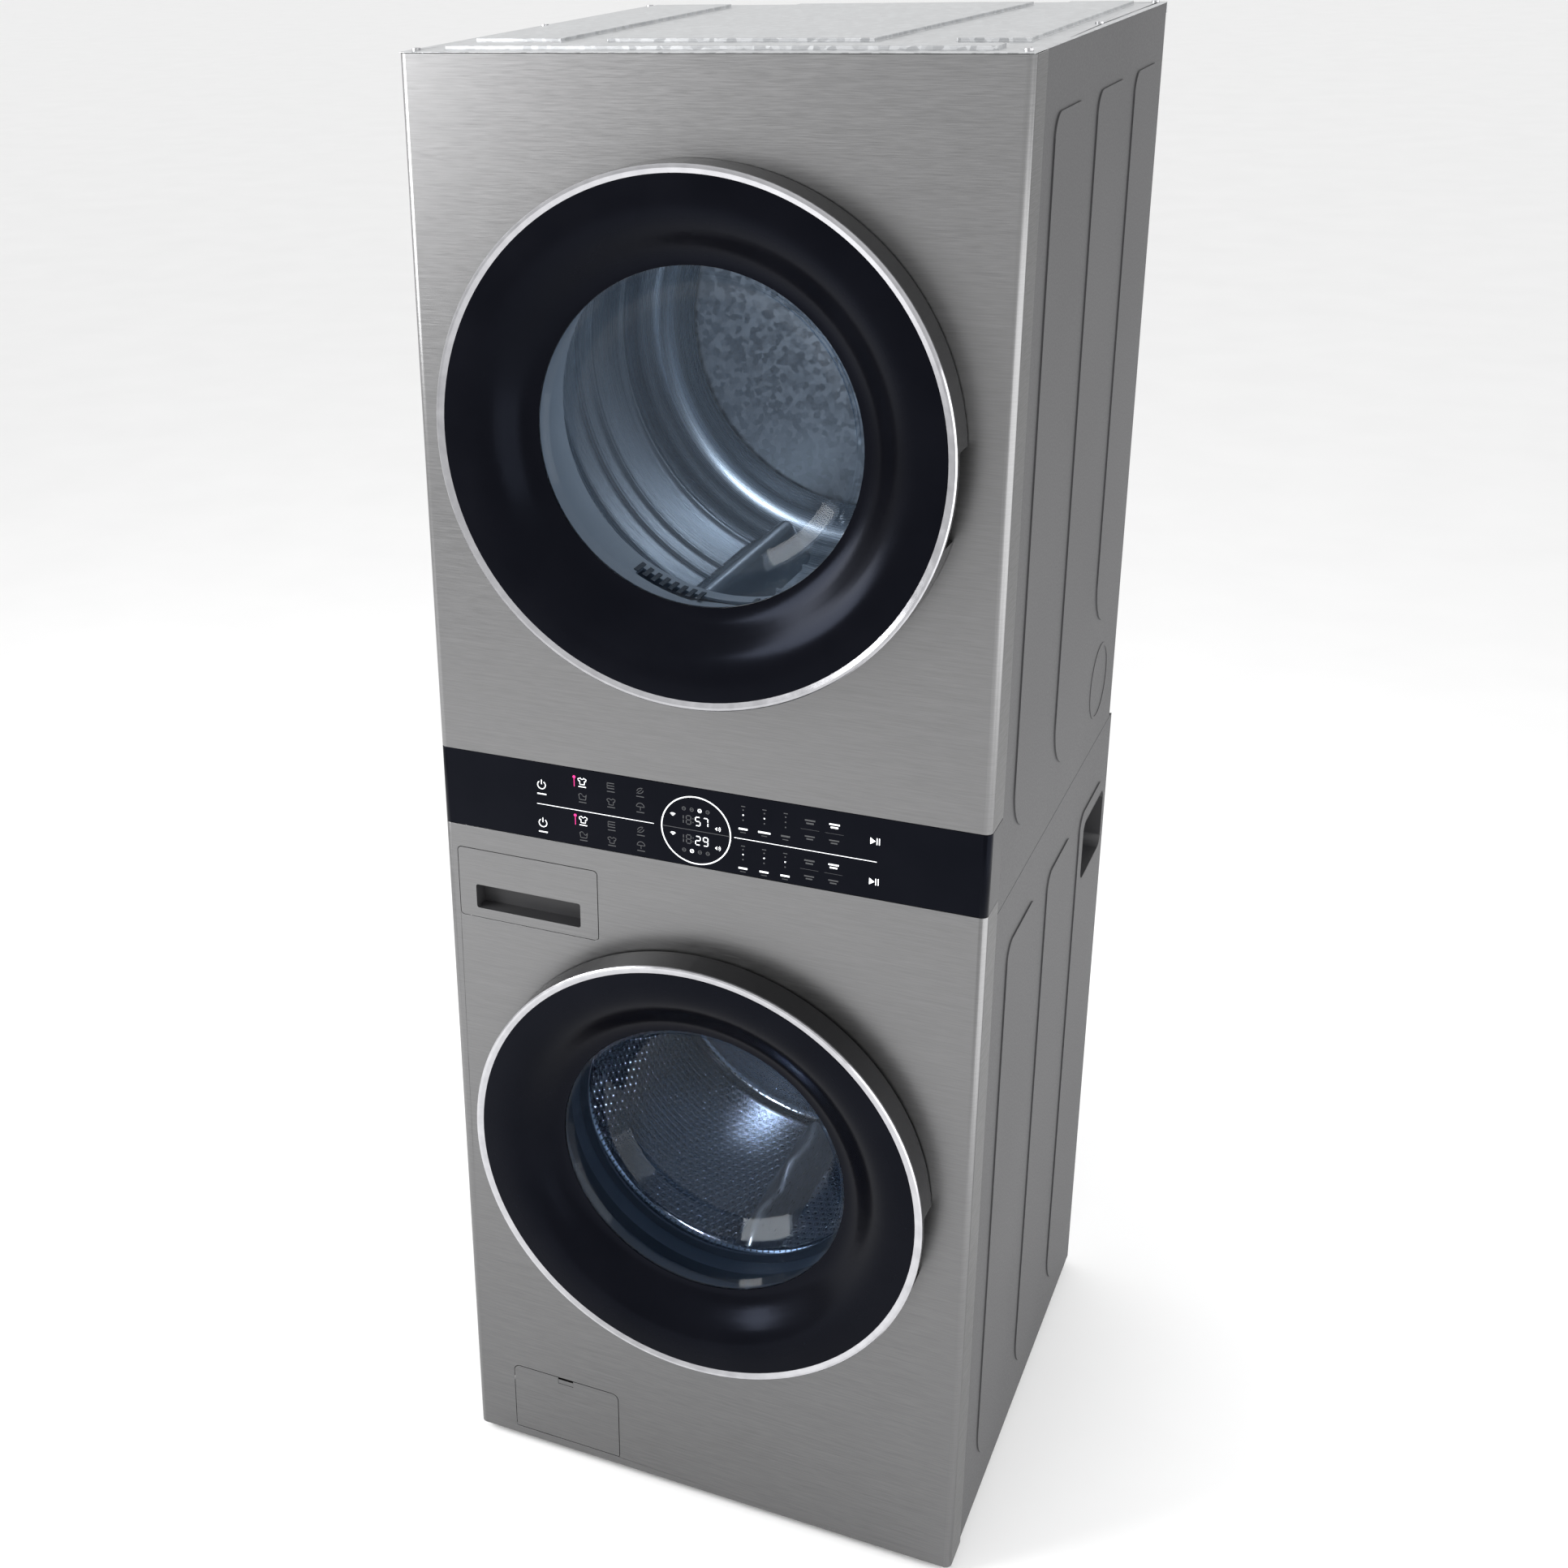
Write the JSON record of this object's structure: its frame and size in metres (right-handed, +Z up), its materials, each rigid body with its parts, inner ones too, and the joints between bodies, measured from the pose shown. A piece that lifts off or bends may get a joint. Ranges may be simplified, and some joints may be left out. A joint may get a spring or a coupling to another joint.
{
  "type": "washer dryer stack",
  "caption": "Front-loading washer with a vented electric dryer above it in one tower, with two round doors, a centre touch panel, a detergent drawer and drums that turn.",
  "frame": {"origin": "on the floor, under the middle of the overall box", "axes": "+Z up, -Y out of the doors towards the user, +X to the user's right"},
  "size_m": [0.686, 0.77, 1.89],
  "materials": {
    "brushed_steel_skin": "horizontal brushed graphite steel",
    "grey_painted_steel": "satin grey enamel",
    "galvanised_steel": "zinc coated sheet",
    "bare_steel": "satin",
    "stainless_drum": "polished stainless",
    "black_glass": "high gloss black",
    "clear_glass": "clear tempered glass",
    "black_plastic": "gloss black moulded plastic",
    "dark_plastic": "textured black plastic",
    "grey_plastic": "grey moulded plastic",
    "chrome_trim": "bright chrome",
    "rubber": "matt rubber",
    "concrete": "cast concrete",
    "copper_windings": "wound stator"
  },
  "bodies": {
    "cabinet": {"washer_side_panels": "grey_painted_steel", "dryer_side_panels": "grey_painted_steel", "washer_front_panel": "brushed_steel_skin", "dryer_front_panel": "brushed_steel_skin", "control_fascia": "black_glass", "control_unit": "dark_plastic", "washer_rear_panel": "galvanised_steel", "dryer_rear_panel": "galvanised_steel", "top_panel": "galvanised_steel", "grip_cups": "dark_plastic", "washer_base": "galvanised_steel", "cabinet_braces": "galvanised_steel", "panel_screws": "bare_steel", "door_fittings": "bare_steel", "dispenser_housing": "grey_plastic", "drain_pump": "dark_plastic", "damper_cylinders": "dark_plastic", "hanging_springs": "bare_steel", "door_gasket": "rubber", "rear_fittings": "dark_plastic", "roller_supports": "bare_steel", "dryer_front_bulkhead": "grey_plastic", "dryer_rear_bulkhead": "galvanised_steel", "blower_housing": "dark_plastic", "exhaust_duct": "galvanised_steel", "dryer_motor": "bare_steel", "drive_belt": "rubber", "dryer_heater": "galvanised_steel"},
    "tub": {"tub_front": "grey_plastic", "tub_rear": "grey_plastic", "counterweights": "concrete", "tub_fittings": "bare_steel", "motor_stator": "copper_windings"},
    "washer_drum": {"washer_drum_shell": "stainless_drum", "drum_spider": "bare_steel", "motor_rotor": "bare_steel"},
    "washer_door": {"washer_door_frame": "black_plastic", "washer_door_trim_ring": "chrome_trim", "washer_door_glass": "black_glass", "washer_door_window": "clear_glass", "washer_door_hardware": "bare_steel"},
    "dryer_door": {"dryer_door_frame": "black_plastic", "dryer_door_trim_ring": "chrome_trim", "dryer_door_glass": "black_glass", "dryer_door_window": "clear_glass", "dryer_door_hardware": "bare_steel"},
    "dryer_drum": {"dryer_drum_shell": "stainless_drum"},
    "blower_and_pulley": {"blower_wheel": "dark_plastic"},
    "idler": {"idler_pulley": "dark_plastic"},
    "roller_left": {"roller_left": "rubber"},
    "roller_right": {"roller_right": "rubber"},
    "drawer": {"drawer_facing": "brushed_steel_skin", "detergent_drawer": "dark_plastic"},
    "filter_door": {"filter_door": "brushed_steel_skin"},
    "pump_filter": {"pump_filter": "dark_plastic"},
    "lint_filter": {"lint_filter": "grey_plastic"},
    "foot_front_left": {"foot_front_left": "rubber"},
    "foot_front_right": {"foot_front_right": "rubber"},
    "foot_rear_left": {"foot_rear_left": "rubber"},
    "foot_rear_right": {"foot_rear_right": "rubber"}
  },
  "joints": [
    {"name": "washer_door_hinge", "type": "hinge", "parent": "cabinet", "child": "washer_door", "pos_m": [-0.2865, -0.367, 0.553], "axis": [0, 0, -1], "range_deg": [0, 120]},
    {"name": "dryer_door_hinge", "type": "hinge", "parent": "cabinet", "child": "dryer_door", "pos_m": [-0.2865, -0.367, 1.486], "axis": [0, 0, -1], "range_deg": [0, 120]},
    {"name": "detergent_drawer_slide", "type": "slide", "parent": "cabinet", "child": "drawer", "axis": [0, -1, 0], "range_m": [0, 0.22]},
    {"name": "filter_door_hinge", "type": "hinge", "parent": "cabinet", "child": "filter_door", "pos_m": [-0.2045, -0.3378, 0.029], "axis": [1, 0, 0], "range_deg": [0, 90]},
    {"name": "pump_filter_turn", "type": "hinge", "parent": "cabinet", "child": "pump_filter", "pos_m": [-0.235, -0.311, 0.08], "axis": [0, 1, 0], "range_deg": [0, 180]},
    {"name": "lint_filter_slide", "type": "slide", "parent": "cabinet", "child": "lint_filter", "axis": [0, 0, 1], "range_m": [0, 0.12]},
    {"name": "tub_suspension", "type": "slide", "parent": "cabinet", "child": "tub", "axis": [0, 0, 1], "range_m": [-0.008, 0.008], "stiffness_N_per_m": 9000, "springref_m": 0.04098, "deforming": ["hanging_springs", "door_gasket"]},
    {"name": "washer_drum_spin", "type": "hinge", "parent": "tub", "child": "washer_drum", "pos_m": [0, 0, 0.553], "axis": [0, 1, 0], "continuous": true},
    {"name": "dryer_drum_spin", "type": "hinge", "parent": "cabinet", "child": "dryer_drum", "pos_m": [0, 0, 1.486], "axis": [0, 1, 0], "continuous": true},
    {"name": "dryer_motor_spin", "type": "hinge", "parent": "cabinet", "child": "blower_and_pulley", "pos_m": [0.11, 0, 1.05], "axis": [0, 1, 0], "continuous": true},
    {"name": "idler_spin", "type": "hinge", "parent": "cabinet", "child": "idler", "pos_m": [0.19631, 0, 1.13321], "axis": [0, 1, 0], "continuous": true},
    {"name": "roller_left_spin", "type": "hinge", "parent": "cabinet", "child": "roller_left", "pos_m": [-0.20264, 0, 1.19659], "axis": [0, 1, 0], "continuous": true},
    {"name": "roller_right_spin", "type": "hinge", "parent": "cabinet", "child": "roller_right", "pos_m": [0.20264, 0, 1.19659], "axis": [0, 1, 0], "continuous": true},
    {"name": "foot_front_left_turn", "type": "hinge", "parent": "cabinet", "child": "foot_front_left", "pos_m": [-0.29, -0.272, 0], "axis": [0, 0, 1], "continuous": true},
    {"name": "foot_front_right_turn", "type": "hinge", "parent": "cabinet", "child": "foot_front_right", "pos_m": [0.29, -0.272, 0], "axis": [0, 0, 1], "continuous": true},
    {"name": "foot_rear_left_turn", "type": "hinge", "parent": "cabinet", "child": "foot_rear_left", "pos_m": [-0.29, 0.29, 0], "axis": [0, 0, 1], "continuous": true},
    {"name": "foot_rear_right_turn", "type": "hinge", "parent": "cabinet", "child": "foot_rear_right", "pos_m": [0.29, 0.29, 0], "axis": [0, 0, 1], "continuous": true}
  ],
  "couplings": [
    {"joint": "dryer_motor_spin", "follows": "dryer_drum_spin", "ratio": 27.783},
    {"joint": "idler_spin", "follows": "dryer_drum_spin", "ratio": -14.577},
    {"joint": "roller_left_spin", "follows": "dryer_drum_spin", "ratio": -9.0857},
    {"joint": "roller_right_spin", "follows": "dryer_drum_spin", "ratio": -9.0857}
  ]
}
